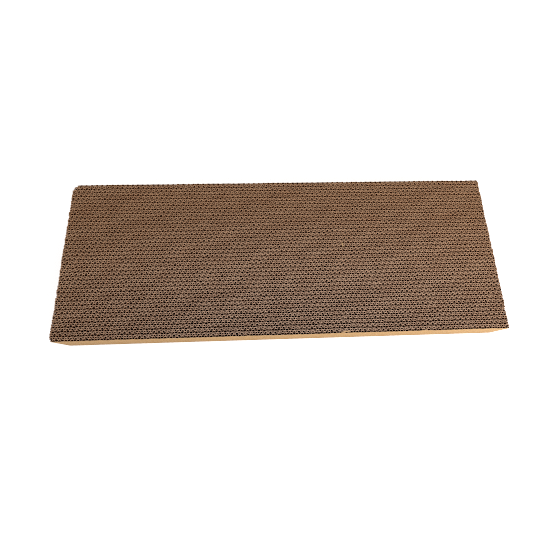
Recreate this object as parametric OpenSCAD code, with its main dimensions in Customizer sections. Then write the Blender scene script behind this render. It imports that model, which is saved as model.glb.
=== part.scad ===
// Flat cat scratcher: a block of corrugated cardboard strips glued face to face.
// The strips stand on edge and run along X, so their flutes are open at the top and at the bottom.
// Each strip is double-wall board with a big flute in front and a small flute behind it.
// X runs along the strips, Y from the front strip to the back one and Z up. The origin is at the
// middle of the underside.

/* [Block] */
// Full length of the block, along the strips
block_length = 600; // [300:10:800]
// Height of the block, which is the width that every strip is cut to
block_height = 44; // [20:1:80]
// Number of double-wall strips between the front facing and the closing strip at the back
strip_count = 39; // [8:1:56]

/* [Corrugated board] */
// Thickness of a liner sheet
liner_thickness = 0.3; // [0.2:0.05:0.5]
// Thickness of the wavy medium sheet
medium_thickness = 0.25; // [0.15:0.05:0.4]
// Clear height of the big flute, between its two liners
big_flute_height = 2.57; // [2:0.01:4.5]
// Distance from crest to crest of the big flute
big_flute_pitch = 7.31; // [6:0.01:9]
// Clear height of the small flute, between its two liners
small_flute_height = 2.24; // [1.5:0.01:3]
// Distance from crest to crest of the small flute
small_flute_pitch = 6.18; // [5:0.01:7]
// Glue line that a crest keeps from its liner
glue_line = 0.02; // [0.01:0.01:0.1]
// Strips from the front whose small flute is drawn open; in the others a closed bar saves file size
open_small_rows = 4; // [0:1:39]

/* [Facings] */
// Thickness of the smooth outer liner on the front and the back
facing_thickness = 0.3; // [0.2:0.05:0.6]

/* [Cutting and wear] */
// Most that a strip's end may stand back from the end of the block
end_rag = 1; // [0:0.1:4]
// Radius of the crushed corner at the back left
crushed_corner = 11; // [1:0.5:30]
// Radius of the blunted corner at the front left
blunt_corner = 6; // [1:0.5:20]
// Radius of the slight wear on the two corners at the right
worn_corner = 3; // [1:0.5:12]

/* [Hidden] */
// Each strip's flutes start this share of a pitch further on than those of the strip in front
big_step_share = 0.375;
small_step_share = 0.54;
// Share of a pitch that a strip's flutes stray from that steady step
stray_share = 0.24;
// A turning point nearer to a strip's end than this share of a half flute is left out
sliver_share = 0.12;
// Settings of the scatter that stands in for hand-fed strips
scatter_turn = 137.508;
scatter_spread = 43.758;
big_salt = 11;
small_salt = 53;
left_salt = 97;
right_salt = 151;

strip_thickness = 3 * liner_thickness + big_flute_height + small_flute_height;
bar_thickness = 2 * liner_thickness + small_flute_height;
block_width = 2 * facing_thickness + strip_count * strip_thickness + big_flute_height;
middle_strip = ceil(strip_count / 2);
back_place = strip_count + 1;

kraft_facing = "burlywood";
strip_brown = "tan";
medium_brown = "peru";

function strip_name(i) = str("strip_", i < 10 ? "0" : "", i);

// A number from 0 to 1 that jumps about from strip to strip but never changes for one strip
function scatter(i, salt) = let (s = sin(i * scatter_turn + salt) * scatter_spread) s - floor(s);

// Front of the big flute of the strip at place i, counted from 1 at the front
function flute_front(i) = -block_width / 2 + facing_thickness + (i - 1) * strip_thickness;

// Where the crests of a strip lie, as a share of the pitch
function flute_phase(i, step_share, salt) = i * step_share + stray_share * (scatter(i, salt) - 0.5);

// How far a round corner of this radius stands back at a depth from the face next to it
function corner_inset(depth, radius) =
  depth >= radius ? 0 : radius - sqrt(radius * radius - (radius - depth) * (radius - depth));

// Depth of a strip's middle from the front and from the back of the block
function depth_from_front(i) = flute_front(i) + big_flute_height / 2 + block_width / 2;
function depth_from_back(i) = block_width - depth_from_front(i);

// The middle strip is cut true and sets the full length; the others end a little short of it
function rag(i, salt) = i == middle_strip ? 0 : end_rag * scatter(i, salt);
function left_end(i) =
  -block_length / 2 + rag(i, left_salt)
  + corner_inset(depth_from_front(i), blunt_corner)
  + corner_inset(depth_from_back(i), crushed_corner);
function right_end(i) =
  block_length / 2 - rag(i, right_salt)
  - corner_inset(depth_from_front(i), worn_corner)
  - corner_inset(depth_from_back(i), worn_corner);

// Height of a zigzag of straight flanks, from 0 in a valley to 1 on a crest, where u counts half flutes
function zigzag(u) = let (f = u - 2 * floor(u / 2)) 1 - abs(1 - f);

// A flat sheet that spans a strip's length, with its front face at y
module sheet(left, right, y, thickness) {
  translate([left, y, 0]) cube([right - left, thickness, block_height]);
}

// The wavy sheet of one flute, standing in a row of that height whose front is at y
module medium(left, right, y, row_height, pitch, phase) {
  half = pitch / 2;
  room = row_height - 2 * glue_line;
  lean = atan2(room - medium_thickness, half);
  across = medium_thickness / cos(lean);
  rise = room - across;
  first = ceil(left / half - 2 * phase + sliver_share);
  last = floor(right / half - 2 * phase - sliver_share);
  xs = concat([left], [for (j = [first : last]) (j + 2 * phase) * half], [right]);
  count = len(xs);
  front = [for (x = xs) [x, rise * zigzag(x / half - 2 * phase)]];
  back = [for (j = [count - 1 : -1 : 0]) [front[j][0], front[j][1] + across]];
  translate([0, y + glue_line, 0])
    linear_extrude(block_height)
      polygon(concat(front, back));
}

// The big flute's medium of the strip at place i
module big_medium(i) {
  color(medium_brown)
    medium(left_end(i), right_end(i), flute_front(i), big_flute_height, big_flute_pitch,
      flute_phase(i, big_step_share, big_salt));
}

// The small flute of the strip at place i, between the middle liner and the back liner
module small_row(i) {
  left = left_end(i);
  right = right_end(i);
  y = flute_front(i) + big_flute_height;
  if (i > open_small_rows) {
    color(strip_brown) sheet(left, right, y, bar_thickness);
  } else {
    color(strip_brown) sheet(left, right, y, liner_thickness);
    color(medium_brown)
      medium(left, right, y + liner_thickness, small_flute_height, small_flute_pitch,
        flute_phase(i, small_step_share, small_salt));
    color(strip_brown) sheet(left, right, y + bar_thickness - liner_thickness, liner_thickness);
  }
}

// The front liner of the strip at place i
module front_liner(i) {
  color(strip_brown)
    sheet(left_end(i), right_end(i), flute_front(i) - liner_thickness, liner_thickness);
}

// One double-wall strip; the first has the front facing as its front liner
module strip(i) {
  if (i > 1) front_liner(i);
  big_medium(i);
  small_row(i);
}

// The single-wall strip that closes the block at the back
module back_strip() {
  front_liner(back_place);
  big_medium(back_place);
}

// The smooth outer liner that closes the front of the first strip
module front_facing() {
  color(kraft_facing)
    sheet(left_end(1), right_end(1), flute_front(1) - facing_thickness, facing_thickness);
}

// The smooth outer liner that closes the back strip
module back_facing() {
  color(kraft_facing)
    sheet(left_end(back_place), right_end(back_place), flute_front(back_place) + big_flute_height,
      facing_thickness);
}

front_facing();
for (i = [1 : strip_count]) strip(i);
back_strip();
back_facing();
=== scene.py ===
# Flat cat scratcher of corrugated cardboard strips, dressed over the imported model.
import math

import bpy
import numpy as np
from mathutils import Matrix, Vector


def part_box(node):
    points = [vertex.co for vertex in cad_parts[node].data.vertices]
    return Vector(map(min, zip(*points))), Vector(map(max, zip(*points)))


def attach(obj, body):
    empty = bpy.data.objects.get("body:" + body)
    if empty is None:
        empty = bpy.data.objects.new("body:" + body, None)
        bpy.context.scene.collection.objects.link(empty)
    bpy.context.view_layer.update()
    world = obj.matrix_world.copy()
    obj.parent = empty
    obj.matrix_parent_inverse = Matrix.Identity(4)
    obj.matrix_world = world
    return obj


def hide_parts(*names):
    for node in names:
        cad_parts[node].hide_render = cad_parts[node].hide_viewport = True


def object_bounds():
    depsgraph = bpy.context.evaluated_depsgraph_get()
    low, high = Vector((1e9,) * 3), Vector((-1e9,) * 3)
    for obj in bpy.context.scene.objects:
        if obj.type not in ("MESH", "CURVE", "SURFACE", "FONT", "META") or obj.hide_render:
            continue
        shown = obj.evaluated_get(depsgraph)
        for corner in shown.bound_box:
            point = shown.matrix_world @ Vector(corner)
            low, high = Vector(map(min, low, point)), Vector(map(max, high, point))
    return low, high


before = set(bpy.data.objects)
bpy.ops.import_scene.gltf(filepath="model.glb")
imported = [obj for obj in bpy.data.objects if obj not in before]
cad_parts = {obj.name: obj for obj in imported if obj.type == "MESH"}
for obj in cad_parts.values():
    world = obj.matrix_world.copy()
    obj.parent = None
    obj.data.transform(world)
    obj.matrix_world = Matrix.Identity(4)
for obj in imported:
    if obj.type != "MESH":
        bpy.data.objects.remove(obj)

cadLow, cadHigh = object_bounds()
print("frame loaded:", len(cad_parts), "nodes")


# The corrugated board, in metres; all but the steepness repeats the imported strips' own sizes
board = {
    "stripCount": 39,
    "linerThickness": 0.00030,
    "mediumThickness": 0.00025,
    "bigHeight": 0.00257,
    "bigPitch": 0.00731,
    "smallHeight": 0.00224,
    "smallPitch": 0.00618,
    "facingThickness": 0.00030,
    "glueLine": 0.00002,
    "flankSteepness": 2.2,
    "bluntCorner": 0.006,     # front left
    "crushedCorner": 0.011,   # back left
    "wornCorner": 0.003,      # the two at the right
}

# Where the flutes start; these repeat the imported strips' own scatter
flutes = {
    "bigStep": 0.375,         # share of a pitch that each strip is further on than the last
    "smallStep": 0.54,
    "stray": 0.24,
    "bigSalt": 11,
    "smallSalt": 53,
    "turn": 137.508,
    "spread": 43.758,
}

stripThickness = 3 * board["linerThickness"] + board["bigHeight"] + board["smallHeight"]
blockTop = cadHigh.z


# A number from 0 to 1 that jumps from strip to strip: the fraction of a stretched sine
def scatter(place, salt):
    wave = math.sin(math.radians(place * flutes["turn"] + salt)) * flutes["spread"]
    return wave - math.floor(wave)


# Share of a pitch by which the crests of one strip are shifted
def crestPhase(place, step, salt):
    return place * flutes[step] + flutes["stray"] * (scatter(place, flutes[salt]) - 0.5)


# Front of the big flute of the strip at this place, counted from 1 at the front
def fluteFront(place):
    return cadLow.y + board["facingThickness"] + (place - 1) * stripThickness


# How far a round corner stands back at a depth from the face beside it: a quarter circle
def cornerInset(depth, radius):
    return 0 if depth >= radius else radius - math.sqrt(radius**2 - (radius - depth) ** 2)


# How saw and claws have left the papers
wear = {
    "edgeDepth": 0.0012,      # how far in from a cut edge the paper is swollen
    "push": 0.00015,          # how far a back crest's top leans back, with the liner's there
    "bigFlare": 2.0,          # thickness of a wave's cut edge as a share of the sheet
    "smallFlare": 4.1,
    "underFlare": 1.05,
    "nearShare": 0.66,        # the waves of the front strip are swollen by this share of that
    "nearStrips": 14,         # strips over which it rises to the whole
    "press": 0.00015,         # how far a swollen wave edge is pressed into the liners beside it
    "lean": 0.00030,          # most that top edges lean along or across the strips
    "topDrop": 0.00012,       # most that a top edge stands below the block's top, but for roughness
    "ownDrop": 0.4,           # share of it that is the same all along a sheet
    "roughness": 0.00007,     # raggedness of a cut edge, from point to point
    "endDrop": 0.0003,        # most that one sheet ends before its strip does
    "crush": 0.0008,          # length over which a flute's end is crushed across its row
    "nicks": {"strip_05": 0.0012},   # strips that lack a bit at the right end
    "wander": 0.08,           # share of a pitch that the flutes wander to and fro along a strip
    "wanderStretch": 3.0,
    "shortWave": 0.009,       # the smooth unevenness is a sum of waves between these lengths
    "longWave": 0.060,
    "waves": 9,
    "seed": 4,
    "leanSeeds": (1, 2),      # along the strips and across them
    "dropSeed": 3,
    "wanderSeed": 40,
    "endSeed": 7000,
}


# A smooth unevenness of about -1 to 1 over the plane: a sum of sines, each with its own
# direction, length and start
def unevenness(x, y, seed):
    draw = np.random.default_rng(wear["seed"] + seed)
    turns = draw.uniform(0, 2 * np.pi, wear["waves"])
    starts = draw.uniform(0, 2 * np.pi, wear["waves"])
    lengths = np.geomspace(wear["shortWave"], wear["longWave"], wear["waves"])
    total = np.zeros(np.broadcast(x, y).shape)
    for turn, start, length in zip(turns, starts, lengths):
        total += np.sin(2 * np.pi * (x * np.cos(turn) + y * np.sin(turn)) / length + start)
    return np.clip(total / np.sqrt(wear["waves"]), -1, 1)


# How far a sheet's top edge stands down: a part of its own, and a part that changes along it
def topDrop(x, y, own):
    along = np.clip(0.5 + 0.5 * unevenness(x, y, wear["dropSeed"]), 0, 1)
    return wear["topDrop"] * (wear["ownDrop"] * own + (1 - wear["ownDrop"]) * along)


# How far a sheet leans at each point of its line, with no side of it leaning past the two bounds
def leaning(side, wave, low, high):
    room = low - side.min(axis=1), high - side.max(axis=1)
    return np.clip(wear["lean"] * wave, np.minimum(room[0], 0), np.maximum(room[1], 0))[:, None]


# A closed sheet on edge. One parameter runs along its centre line, the other round its section:
# up the front face, over the top, down the back face and under. A point is the centre line moved
# by half the thickness along the line's normal and kept between two depths, then leant, pushed back
# and roughened towards the top, where a skin's thickness keeps it off the block's front and back
def standingSheet(x, y, thickness, flare, seed, depths=(-math.inf, math.inf), push=0, skin=0):
    draw = np.random.default_rng(seed)
    slopeX, slopeY = np.gradient(x), np.gradient(y)
    length = np.hypot(slopeX, slopeY)
    heights = np.array([0, wear["edgeDepth"], blockTop - wear["edgeDepth"], blockTop])
    swell = np.ones((len(x), len(heights)))
    swell[:, 0], swell[:, -1] = wear["underFlare"], flare
    side = np.repeat([-0.5, 0.5], len(heights)) * thickness * np.hstack([swell, swell[:, ::-1]])
    heights = np.append(heights, heights[::-1])
    px = x[:, None] - (slopeY / length)[:, None] * side
    py = np.clip(y[:, None] + (slopeX / length)[:, None] * side, *depths)
    atTop = heights == blockTop
    upper = heights > blockTop / 2
    rough = draw.uniform(-1, 1, (3,) + px.shape) * wear["roughness"]
    along, across = (unevenness(x, y, own) for own in wear["leanSeeds"])
    walls = cadLow.y + skin, cadHigh.y - skin
    px = px + upper * leaning(px, along, cadLow.x, cadHigh.x) + atTop * rough[0]
    py = py + upper * leaning(py, across, *walls) + atTop * rough[1]
    py = np.clip(py + upper * np.reshape(push, (-1, 1)), *walls)
    drop = topDrop(x, y, draw.uniform())[:, None] + np.abs(rough[2])
    points = np.clip(np.stack([px, py, heights - atTop * drop], -1), cadLow, cadHigh)
    # Quads between one section and the next, then those that close the two ends
    count, ring = px.shape
    at = np.arange(count * ring).reshape(count, ring)
    turned = np.roll(at, -1, axis=1)
    around = np.stack([at[:-1], at[1:], turned[1:], turned[:-1]], -1).reshape(-1, 4)
    k = np.arange(ring // 2 - 1)
    first = np.stack([at[0, k], at[0, k + 1], at[0, ring - 2 - k], at[0, ring - 1 - k]], -1)
    last = np.stack([at[-1, ring - 1 - k], at[-1, ring - 2 - k], at[-1, k + 1], at[-1, k]], -1)
    return points.reshape(-1, 3), np.concatenate([around, first, last])


# How a flute swings along x, from -1 at its front crests to 1 at its back ones: a cosine of its
# pitch with the flanks made steeper, tanh(k cos) / tanh(k), whose crests wander a little from their
# even places. A flute is its pitch, its phase and its seed
def fluteWave(x, flute):
    pitch, phase, seed = flute
    stray = wear["wander"] * unevenness(x / wear["wanderStretch"], 0, seed + wear["wanderSeed"])
    steep = board["flankSteepness"]
    return -np.tanh(steep * np.cos(2 * np.pi * (x / pitch - phase - stray))) / np.tanh(steep)


# Points along a sheet, as many for each flute
def stepsAlong(ends, flute, perFlute):
    return np.linspace(*ends, int((ends[1] - ends[0]) / flute[0] * perFlute) + 1)


# A wavy sheet in a row whose front is at y. Its centre line follows the flute, and at its ends it
# is crushed straight across the row
def medium(ends, y, rowHeight, flute, perFlute, flare):
    thickness = board["mediumThickness"]
    x = stepsAlong(ends, flute, perFlute)
    x[1], x[-2] = x[0] + wear["crush"], x[-1] - wear["crush"]
    rise = (rowHeight - thickness) / 2 - board["glueLine"]
    wave = fluteWave(x, flute)
    wave[[1, -2]] = np.where(wave[[2, -3]] > 0, 1, -1)
    wave[[0, -1]] = -wave[[1, -2]]
    line = y + rowHeight / 2 + rise * wave
    depths = y - wear["press"], y + rowHeight + wear["press"]
    push = wear["push"] * np.maximum(wave, 0)
    skin = board["facingThickness"]
    return standingSheet(x, line, thickness, flare, flute[2], depths, push, skin)


# The liners of a strip. Where a back crest of the flute in front touches one, it is painted
# lighter, a painted highlight, and its top edge is pushed back and swollen; between those crests it
# is painted darker, the painted shade of the open flute, its edge forward and thin
liners = {
    "front": {"flare": 1.05, "toneAndShade": 1.0, "swing": 0.1},    # swing: share of the two below
    "middle": {"flare": 1.0, "toneAndShade": 1.2, "swing": 1.0},
    "back": {"flare": 1.05, "toneAndShade": 1.0, "swing": 0.35},
    "swellSwing": 0.6,
    # How far a liner's painted light and shade swing its tone
    "lightSwing": 0.3,
    "pointsPerFlute": 5,
}


# A flat sheet with its front face at y, and its tone with its painted light and shade at each of
# its points
def liner(kind, ends, y, flute, seed):
    own = liners[kind]
    thickness = board["linerThickness"]
    x = stepsAlong(ends, flute, liners["pointsPerFlute"])
    line = np.full_like(x, y + thickness / 2)
    touch = fluteWave(x, flute)
    flare = own["flare"] * (1 + liners["swellSwing"] * own["swing"] * touch)
    sheet = standingSheet(x, line, thickness, flare, seed, push=wear["push"] * touch)
    # Painted highlight where crests touch, painted shade between them
    toneAndShade = own["toneAndShade"] * (1 + liners["lightSwing"] * own["swing"] * touch)
    return sheet, np.repeat(toneAndShade, len(sheet[0]) // len(x))


# Ends of a sheet: those of its strip, with the round corners cut at the sheet's own depth
def sheetEnds(node, middle, y, seed):
    draw = np.random.default_rng(seed + wear["endSeed"])
    low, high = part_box(node)
    left, right = low.x, high.x
    for depth, there, corner in (
        (y - cadLow.y, middle - cadLow.y, "bluntCorner"),
        (cadHigh.y - y, cadHigh.y - middle, "crushedCorner"),
    ):
        left += cornerInset(depth, board[corner]) - cornerInset(there, board[corner])
        right -= cornerInset(depth, board["wornCorner"]) - cornerInset(there, board["wornCorner"])
    back = draw.uniform(0, wear["endDrop"], 2)
    return left + back[0], right - back[1] - wear["nicks"].get(node, 0)


# 1 at a sheet's two cut ends and over the crushed bit there, falling to 0 over as much again
def endShare(x):
    fromEnd = np.minimum(x - x.min(), x.max() - x)
    return np.clip(2 - fromEnd / wear["crush"], 0, 1)


# Edges sharper than this aren't shaded round
sharpAngle = math.radians(50)


# One object from several sheets; each sheet's tone with any painted light and shade, one number or
# one for each of its points, goes into a point attribute, and so do its ends
def papersObject(name, sheets, tonesAndShade, material):
    starts = np.cumsum([0] + [len(points) for points, quads in sheets])
    toneAndShade = np.concatenate([
        np.broadcast_to(toneAndShade, len(points)) for (points, quads), toneAndShade in zip(sheets, tonesAndShade)])
    atEnd = np.concatenate([endShare(points[:, 0]) for points, quads in sheets])
    allPoints = np.concatenate([points for points, quads in sheets])
    allQuads = np.concatenate([quads + start for (points, quads), start in zip(sheets, starts)])
    mesh = bpy.data.meshes.new(name)
    mesh.vertices.add(len(allPoints))
    mesh.vertices.foreach_set("co", allPoints.ravel())
    mesh.loops.add(allQuads.size)
    mesh.loops.foreach_set("vertex_index", allQuads.ravel())
    mesh.polygons.add(len(allQuads))
    mesh.polygons.foreach_set("loop_start", np.arange(len(allQuads)) * 4)
    mesh.polygons.foreach_set("use_smooth", np.ones(len(allQuads), dtype=bool))
    mesh.update(calc_edges=True)
    mesh.set_sharp_from_angle(angle=sharpAngle)
    mesh.attributes.new("paperToneAndShade", "FLOAT", "POINT").data.foreach_set("value", toneAndShade)
    mesh.attributes.new("paperEnd", "FLOAT", "POINT").data.foreach_set("value", atEnd)
    mesh.materials.append(material)
    piece = bpy.data.objects.new(name, mesh)
    bpy.context.scene.collection.objects.link(piece)
    return piece


# Puts a node into a tree; inputs take a value or another node's output
def putNode(tree, kind, inputs={}, **settings):
    node = tree.nodes.new(kind)
    for key, value in settings.items():
        setattr(node, key, value)
    for key, value in inputs.items():
        if isinstance(value, bpy.types.NodeSocket):
            tree.links.new(value, node.inputs[key])
        else:
            node.inputs[key].default_value = value
    return node


# The nodes used most, each giving its result. The first two work on numbers and on vectors
def putMath(tree, operation, first, second):
    return putNode(tree, "ShaderNodeMath", {0: first, 1: second}, operation=operation).outputs[0]


def putVectorMath(tree, operation, first, second):
    given = {0: first, 1: second}
    return putNode(tree, "ShaderNodeVectorMath", given, operation=operation).outputs[0]


# Two colours mixed, the first where the share is 0; these are the node's own colour sockets
def putMix(tree, share, first, second):
    given = {0: share, 6: first, 7: second}
    return putNode(tree, "ShaderNodeMix", given, data_type="RGBA").outputs[2]


# A number mapped from the range low to high to another range and kept inside that
def putRange(tree, value, low, high, toLow, toHigh, kind="LINEAR"):
    return putNode(tree, "ShaderNodeMapRange", {
        "Value": value, "From Min": low, "From Max": high, "To Min": toLow, "To Max": toHigh},
        interpolation_type=kind).outputs["Result"]


# A new node group with vectors and numbers as inputs and numbers as outputs; gives the tree and
# the sockets of its two end nodes
def newGroup(name, vectors, numbers, results):
    tree = bpy.data.node_groups.new(name, "ShaderNodeTree")
    for labels, way, kind in (
        (vectors, "INPUT", "NodeSocketVector"),
        (numbers, "INPUT", "NodeSocketFloat"),
        (results, "OUTPUT", "NodeSocketFloat"),
    ):
        for label in labels:
            tree.interface.new_socket(name=label, in_out=way, socket_type=kind)
    return tree, tree.nodes.new("NodeGroupInput").outputs, tree.nodes.new("NodeGroupOutput").inputs


# What all papers share
paperLook = {
    "cloudDetail": 3,
    "grainDetail": 2,
    "grainStretch": (0.35, 1, 1),
    "fibreSpread": (0.75, 1.25),   # of cloud and grain added up: all dark, all light
    "specular": 0.25,
    "bumpDistance": 0.0001,
}


# Paper fibre: cloudy mottling, and a fine grain drawn out along the strips
def makePaperFibre():
    tree, given, out = newGroup(
        "paperFibre", ["Place"], ["Cloud Scale", "Grain Scale"], ["Cloud", "Grain"])
    cloud = putNode(tree, "ShaderNodeTexNoise", {
        "Vector": given["Place"], "Scale": given["Cloud Scale"],
        "Detail": paperLook["cloudDetail"]})
    drawn = putVectorMath(tree, "MULTIPLY", given["Place"], paperLook["grainStretch"])
    grain = putNode(tree, "ShaderNodeTexNoise", {
        "Vector": drawn, "Scale": given["Grain Scale"], "Detail": paperLook["grainDetail"]})
    tree.links.new(cloud.outputs["Fac"], out["Cloud"])
    tree.links.new(grain.outputs["Fac"], out["Grain"])
    return tree


# Cut edge: Rim is 1 at the top and underside and 0 past its width; the second output is 0 there
# and rises to 1 at its depth, the mask of the painted shade deep in the flutes
def makeCutEdge():
    tree, given, out = newGroup(
        "cutEdge", ["Place"], ["Top", "Width", "Depth"], ["Rim", "Inside"])
    height = putNode(tree, "ShaderNodeSeparateXYZ", {0: given["Place"]}).outputs["Z"]
    down = putMath(tree, "SUBTRACT", given["Top"], height)
    near = putMath(tree, "MINIMUM", down, height)
    rim = putRange(tree, near, 0, given["Width"], 1, 0)
    insideShade = putRange(tree, near, 0, given["Depth"], 0, 1, "SMOOTHSTEP")
    tree.links.new(rim, out["Rim"])
    tree.links.new(insideShade, out["Inside"])
    return tree


# Grey rim patch: 1 in the middle of a flat oval, fading to 0 at its radius
def makeGreyRimPatch():
    tree, given, out = newGroup(
        "greyRimPatch", ["Place", "Centre", "Shrink"], ["Radius"], ["Patch"])
    away = putVectorMath(tree, "SUBTRACT", given["Place"], given["Centre"])
    flat = putVectorMath(tree, "MULTIPLY", away, given["Shrink"])
    reach = putNode(tree, "ShaderNodeVectorMath", {0: flat}, operation="LENGTH").outputs["Value"]
    patch = putRange(tree, reach, 0, given["Radius"], 1, 0, "SMOOTHSTEP")
    tree.links.new(patch, out["Patch"])
    return tree


paperFibre, cutEdge, greyRimPatch = makePaperFibre(), makeCutEdge(), makeGreyRimPatch()

# Colours are linear values
boardPaint = {
    # The board's wall browns are painted far darker than its paper, as painted shade in the flutes;
    # its rim keeps about the paper's own colour
    "light": (0.165, 0.046, 0.008, 1),
    "dark": (0.11, 0.030, 0.005, 1),
    "rim": (0.47, 0.272, 0.152, 1),
    "rimWidth": 0.0004,
    "endRim": 0.6,            # how much a sheet's cut ends are like its rim
    "patch": {                # where the rim is paler and greyer
        "colour": (0.63, 0.454, 0.355, 1),
        "share": 0.6,
        "centre": (0.0, -0.15, 0.0),
        "shrink": (0.5, 1.0, 0.0),
        "radius": 0.28,
    },
    "insideShade": 0.9,            # painted shade: how much darker the walls are deep in the flutes
    "insideShadeDepth": 0.007,
    "cloudScale": 45.0,
    "grainScale": 1400.0,
    "bump": 0.4,
    "roughness": 0.9,
}
kraftPaint = {
    "light": (0.51, 0.298, 0.120, 1),
    "dark": (0.48, 0.278, 0.108, 1),
    "rim": (0.53, 0.33, 0.165, 1),
    "rimWidth": 0.0008,
    "endRim": 1.0,
    "cloudScale": 30.0,
    "grainScale": 900.0,
    "bump": 0.1,
    "roughness": 0.75,
}


# Matt paper: two browns mixed by the fibre, lighter at the cut edge, all scaled by the sheet's own
# tone with any painted light and shade. A paint may have a patch where its rim is greyer, and
# painted shade that darkens its walls deep in the flutes
def paperMaterial(name, paint):
    material = bpy.data.materials.new(name)
    material.use_nodes = True
    tree = material.node_tree
    place = putNode(tree, "ShaderNodeTexCoord").outputs["Object"]
    fibre = putNode(tree, "ShaderNodeGroup", {
        "Place": place, "Cloud Scale": paint["cloudScale"],
        "Grain Scale": paint["grainScale"]}, node_tree=paperFibre)
    both = putMath(tree, "ADD", fibre.outputs["Cloud"], fibre.outputs["Grain"])
    spread = putRange(tree, both, *paperLook["fibreSpread"], 0, 1)
    body = putMix(tree, spread, paint["dark"], paint["light"])
    rim = paint["rim"]
    if "patch" in paint:
        own = paint["patch"]
        patch = putNode(tree, "ShaderNodeGroup", {
            "Place": place, "Centre": own["centre"], "Shrink": own["shrink"],
            "Radius": own["radius"]}, node_tree=greyRimPatch)
        greyed = putMath(tree, "MULTIPLY", patch.outputs["Patch"], own["share"])
        rim = putMix(tree, greyed, paint["rim"], own["colour"])
    edge = putNode(tree, "ShaderNodeGroup", {
        "Place": place, "Top": blockTop, "Width": paint["rimWidth"]}, node_tree=cutEdge)
    end = putNode(tree, "ShaderNodeAttribute", attribute_name="paperEnd").outputs["Fac"]
    endRim = putMath(tree, "MULTIPLY", end, paint["endRim"])
    cut = putMath(tree, "MAXIMUM", edge.outputs["Rim"], endRim)
    # Walls in the paint's two browns, which on the board are painted shade, with the cut edges and
    # ends in its rim colour
    rimOverShadedWall = putMix(tree, cut, body, rim)
    share = putNode(tree, "ShaderNodeAttribute", attribute_name="paperToneAndShade").outputs["Fac"]
    # Painted shade: the walls darken deep in the flutes, but not at a sheet's cut ends
    if "insideShade" in paint:
        edge.inputs["Depth"].default_value = paint["insideShadeDepth"]
        deepShade = putRange(tree, edge.outputs["Inside"], 0, 1, 1, 1 - paint["insideShade"])
        shadeOffEnds = putMath(tree, "MAXIMUM", deepShade, end)
        share = putMath(tree, "MULTIPLY", shadeOffEnds, share)
    colour = putNode(tree, "ShaderNodeVectorMath", {0: rimOverShadedWall, "Scale": share}, operation="SCALE")
    bump = putNode(tree, "ShaderNodeBump", {
        "Height": fibre.outputs["Grain"], "Strength": paint["bump"],
        "Distance": paperLook["bumpDistance"]})
    shader = tree.nodes["Principled BSDF"]
    shader.inputs["Roughness"].default_value = paint["roughness"]
    shader.inputs["Specular IOR Level"].default_value = paperLook["specular"]
    tree.links.new(colour.outputs[0], shader.inputs["Base Color"])
    tree.links.new(bump.outputs["Normal"], shader.inputs["Normal"])
    return material


boardPaper = paperMaterial("boardPaper", boardPaint)
kraftPaper = paperMaterial("kraftPaper", kraftPaint)
print("materials made")

# The papers of a strip: tones of the waves, and the most that one sheet strays from its tone
strips = {
    "bigTone": 1.15,
    "smallTone": 1.05,
    "toneStray": 0.04,
    "bigPoints": 10,          # points along one flute
    "smallPoints": 8,
    "seed": 100,              # times the strip's place, plus one of these
    "seeds": {"big": 0, "front": 1, "small": 2, "middle": 3, "back": 4, "tonesAndShade": 9},
}


def paperSeed(kind, place):
    return strips["seed"] * place + strips["seeds"][kind]


# The big or small flute of the strip at one place
def fluteAt(kind, place):
    phase = crestPhase(place, kind + "Step", kind + "Salt")
    return board[kind + "Pitch"], phase, paperSeed(kind, place)


# The papers of the strip at one place, with their tones and the liners' painted light and shade;
# the one that closes the back has a big flute only, and the first has the front facing as its front
# liner
def stripPapers(node, place, closing):
    front = fluteFront(place)
    middle = front + board["bigHeight"] / 2
    bigBack = front + board["bigHeight"]
    smallFront = bigBack + board["linerThickness"]
    smallBack = smallFront + board["smallHeight"]
    swell = np.interp(place, (1, wear["nearStrips"]), (wear["nearShare"], 1))
    papers = []

    def addWave(kind, y):
        height, flare = board[kind + "Height"], wear[kind + "Flare"] * swell
        ends = sheetEnds(node, middle, y + height / 2, paperSeed(kind, place))
        sheet = medium(ends, y, height, fluteAt(kind, place), strips[kind + "Points"], flare)
        papers.append((sheet, strips[kind + "Tone"]))

    def addLiner(kind, y, flute):
        seed = paperSeed(kind, place)
        papers.append(liner(kind, sheetEnds(node, middle, y, seed), y, flute, seed))

    addWave("big", front)
    if place > 1:
        addLiner("front", front - board["linerThickness"], fluteAt("small", place - 1))
    if not closing:
        addWave("small", smallFront)
        addLiner("middle", bigBack, fluteAt("big", place))
        addLiner("back", smallBack, fluteAt("small", place))
    draw = np.random.default_rng(paperSeed("tonesAndShade", place))
    strays = draw.uniform(-1, 1, len(papers)) * strips["toneStray"]
    sheets = [sheet for sheet, toneAndShade in papers]
    return sheets, [toneAndShade * (1 + stray) for (sheet, toneAndShade), stray in zip(papers, strays)]


for place in range(1, board["stripCount"] + 2):
    closing = place > board["stripCount"]
    node = "back_strip" if closing else f"strip_{place:02d}"
    piece = papersObject("board_" + node, *stripPapers(node, place, closing), boardPaper)
    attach(piece, "root")
    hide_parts(node)
print("strips made")

# The outer liners, pulled in a little between the crests that hold them. At a fold, the front one's
# cut edge is bent in over the first flutes
facings = {
    "washboard": 0.00008,
    "inset": 0.1,             # share of its thickness by which a facing stands in at the crests
    "points": 1200,
    "flare": 1.2,
    "seed": 70,
    # Middle, half width and reach inwards of each fold
    "folds": ((0.0755, 0.0035, 0.0024), (0.1820, 0.0050, 0.0008), (0.1866, 0.0018, 0.0017)),
    "steepness": 3,           # how much sooner than it reaches inwards a fold lies down
    "bent": (0.3, 0, 0.9, 1.2),   # depths of a section's upper points there, in thicknesses
    "backDrop": 0.0010,       # how far the back one stands below the flutes
    "tonesAndShade": (0.83, 1.03),    # at the foot, painted darker as shade there, and at the top
}

# Points of a sheet's section: those of its top edge, and with them the ones just below it
topPoints, upperPoints = slice(3, 5), slice(2, 6)


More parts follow.
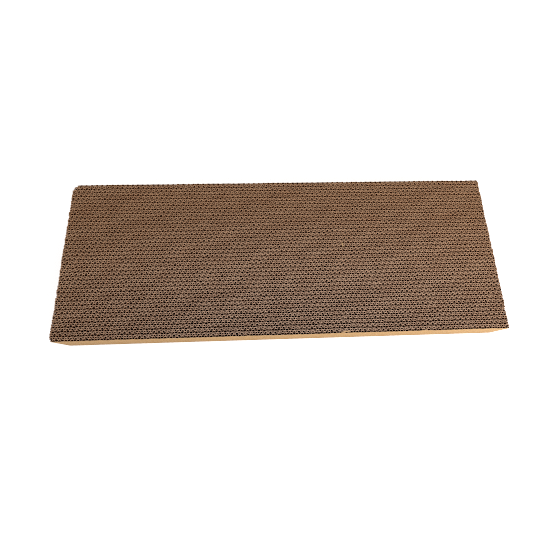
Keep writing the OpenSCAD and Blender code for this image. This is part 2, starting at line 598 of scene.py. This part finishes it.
# The outer liner over one end strip; crests at this phase hold its face out
def facing(node, place, inwards, phase):
    thickness = board["facingThickness"]
    low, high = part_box(node)
    x = np.linspace(low.x, high.x, facings["points"])
    hollow = 0.5 - 0.5 * np.cos(2 * np.pi * (x / board["bigPitch"] - phase))
    sunk = facings["washboard"] * hollow + thickness * facings["inset"]
    y = (low.y + high.y) / 2 + inwards * sunk
    points, quads = standingSheet(x, y, thickness, facings["flare"], facings["seed"] + place)
    rings = points.reshape(len(x), -1, 3)
    if inwards > 0:
        bent = blockTop - thickness * np.array(facings["bent"])
        for centre, half, reach in facings["folds"]:
            share = np.clip(1 - np.abs(x - centre) / half, 0, 1)[:, None]
            down = np.minimum(facings["steepness"] * share, 1)
            rings[:, upperPoints, 2] += down * (bent - rings[:, upperPoints, 2])
            rings[:, topPoints, 1] += reach * share
    else:
        rings[:, upperPoints, 2] -= facings["backDrop"]
    # Painted shade: darker towards the foot
    toneAndShade = np.interp(points[:, 2], (0, blockTop), facings["tonesAndShade"])
    return papersObject("kraft_" + node, [(rings.reshape(-1, 3), quads)], [toneAndShade], kraftPaper)


# The back one is held by back crests, half a pitch on from the front ones
lastPlace = board["stripCount"] + 1
for node, place, inwards, turn in (("front_facing", 1, 1, 0), ("back_facing", lastPlace, -1, 0.5)):
    piece = facing(node, place, inwards, crestPhase(place, "bigStep", "bigSalt") + turn)
    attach(piece, "root")
    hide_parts(node)
print("facings made")

# Torn bits of paper that lie level with the cut edges: two pale scraps, and the flap that the front
# facing's first fold tears off into. Each has its place, its half lengths, its turn and its tone
scraps = {
    "places": (
        (0.0848, 0.0118, 0.0009, 0.0032, 8, 0.95),
        (-0.0133, -0.0230, 0.0008, 0.0009, 20, 0.95),
        (0.0806, -0.1105, 0.0050, 0.0009, 2, 1.05),
    ),
    "thickness": 0.0003,
    "ragged": (0.75, 1),      # how far out a corner is, as a share of the half lengths
    "seed": 90,
}

# Corners of a square, and the quads between two of them with corners 0 to 3 and 4 to 7
square = np.array([(-1, -1), (1, -1), (1, 1), (-1, 1)])
fourSides = [(k, (k + 1) % 4, 4 + (k + 1) % 4, 4 + k) for k in range(4)]


# One scrap: a flat bit of paper with four ragged corners
def scrap(x, y, halfX, halfY, turn, seed):
    draw = np.random.default_rng(seed)
    corners = square * (halfX, halfY) * draw.uniform(*scraps["ragged"], square.shape)
    c, s = math.cos(math.radians(turn)), math.sin(math.radians(turn))
    flat = corners @ np.array([(c, s), (-s, c)]) + (x, y)
    under = np.column_stack([flat, np.full(4, blockTop - scraps["thickness"])])
    over = np.column_stack([flat, np.full(4, blockTop)])
    return np.concatenate([under, over]), np.array([(3, 2, 1, 0), (4, 5, 6, 7)] + fourSides)


pieces = [scrap(*place[:5], scraps["seed"] + k) for k, place in enumerate(scraps["places"])]
piece = papersObject("torn_scraps", pieces, [place[5] for place in scraps["places"]], kraftPaper)
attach(piece, "root")
print("scraps made")

# Pale floor that the camera sees a little brighter, with the block's shadow kept; under the block
# it has no lift, so the flutes show it dark
floorLook = {
    "size": 8.0,
    "drop": 0.0004,
    "colour": (0.86, 0.86, 0.86, 1),
    "lift": 0.55,
    "inset": 0.004,           # the part without lift keeps this far inside the block's outline
}


# 1 for rays that show a surface to the camera, straight or by way of a glossy or clear one
def seenRays(tree):
    path = putNode(tree, "ShaderNodeLightPath").outputs
    bounced = putMath(tree, "MAXIMUM", path["Is Glossy Ray"], path["Is Transmission Ray"])
    return putMath(tree, "MAXIMUM", path["Is Camera Ray"], bounced)


# Matt, with a lift that only the camera sees
def floorMaterial(name, lift):
    material = bpy.data.materials.new(name)
    material.use_nodes = True
    tree = material.node_tree
    tree.nodes.clear()
    seen = putMath(tree, "MULTIPLY", seenRays(tree), lift)
    matt = putNode(tree, "ShaderNodeBsdfDiffuse", {"Color": floorLook["colour"]})
    glow = putNode(tree, "ShaderNodeEmission", {"Strength": seen})
    both = putNode(tree, "ShaderNodeAddShader", {0: matt.outputs[0], 1: glow.outputs[0]})
    putNode(tree, "ShaderNodeOutputMaterial", {"Surface": both.outputs[0]})
    return material


# Four quads all round and one without lift under the block
def makeFloor():
    half, z = floorLook["size"] / 2, -floorLook["drop"]
    inset = Vector((floorLook["inset"], floorLook["inset"]))
    low, high = cadLow.xy + inset, cadHigh.xy - inset
    corners = [(x * half, y * half, z) for x, y in square]
    corners += [(low.x, low.y, z), (high.x, low.y, z), (high.x, high.y, z), (low.x, high.y, z)]
    mesh = bpy.data.meshes.new("floor")
    mesh.from_pydata(corners, [], fourSides + [(4, 5, 6, 7)])
    mesh.materials.append(floorMaterial("paleFloor", floorLook["lift"]))
    mesh.materials.append(floorMaterial("coveredFloor", 0))
    mesh.polygons[-1].material_index = 1
    floor = bpy.data.objects.new("floor", mesh)
    bpy.context.scene.collection.objects.link(floor)


makeFloor()

# Soft light from all round, and a broad lamp low at the right that leaves the flutes dark
lights = {
    "skyColour": (1, 1, 1, 1),
    "sky": 0.62,
    "seenSky": 1,             # how bright the camera sees it
    "lampPlace": (0.85, -0.65, 0.5),
    "lampSize": 0.6,
    "lampWatts": 11.6,
}


def makeLights():
    light = bpy.data.lights.new("sideLamp", "AREA")
    light.shape = "DISK"
    light.size = lights["lampSize"]
    light.energy = lights["lampWatts"]
    lamp = bpy.data.objects.new("sideLamp", light)
    lamp.location = lights["lampPlace"]
    lamp.rotation_euler = (-Vector(lights["lampPlace"])).to_track_quat("-Z", "Y").to_euler()
    bpy.context.scene.collection.objects.link(lamp)
    world = bpy.data.worlds.new("studio")
    bpy.context.scene.world = world
    world.use_nodes = True
    tree = world.node_tree
    level = putRange(tree, seenRays(tree), 0, 1, lights["sky"], lights["seenSky"])
    sky = tree.nodes["Background"]
    sky.inputs["Color"].default_value = lights["skyColour"]
    tree.links.new(level, sky.inputs["Strength"])


makeLights()
print("floor and lights made")

# The camera stands close above the front edge, with the photograph's wide view
view = {
    "place": (-0.01444, -0.16911, 0.47954),
    "aim": (0.00348, -0.04287, 0.044),
    "roll": 6.356,
    "lens": 21.92,
    "shift": (-0.02044, 0.0148),
    "nearest": 0.01,
}


def makeCamera():
    camera = bpy.data.objects.new("camera", bpy.data.cameras.new("camera"))
    camera.data.lens = view["lens"]
    camera.data.shift_x, camera.data.shift_y = view["shift"]
    camera.data.clip_start = view["nearest"]
    place, aim = Vector(view["place"]), Vector(view["aim"])
    turn = (aim - place).to_track_quat("-Z", "Y").to_matrix().to_4x4()
    roll = Matrix.Rotation(math.radians(view["roll"]), 4, "Z")
    camera.matrix_world = Matrix.Translation(place) @ turn @ roll
    bpy.context.scene.collection.objects.link(camera)
    bpy.context.scene.camera = camera


makeCamera()
bpy.context.scene.view_settings.view_transform = "Standard"
bpy.context.scene.cycles.use_denoising = False   # it smears the flutes
bpy.context.scene.cycles.pixel_filter_type = "BOX"   # as sharp as the photograph, with fewer arcs
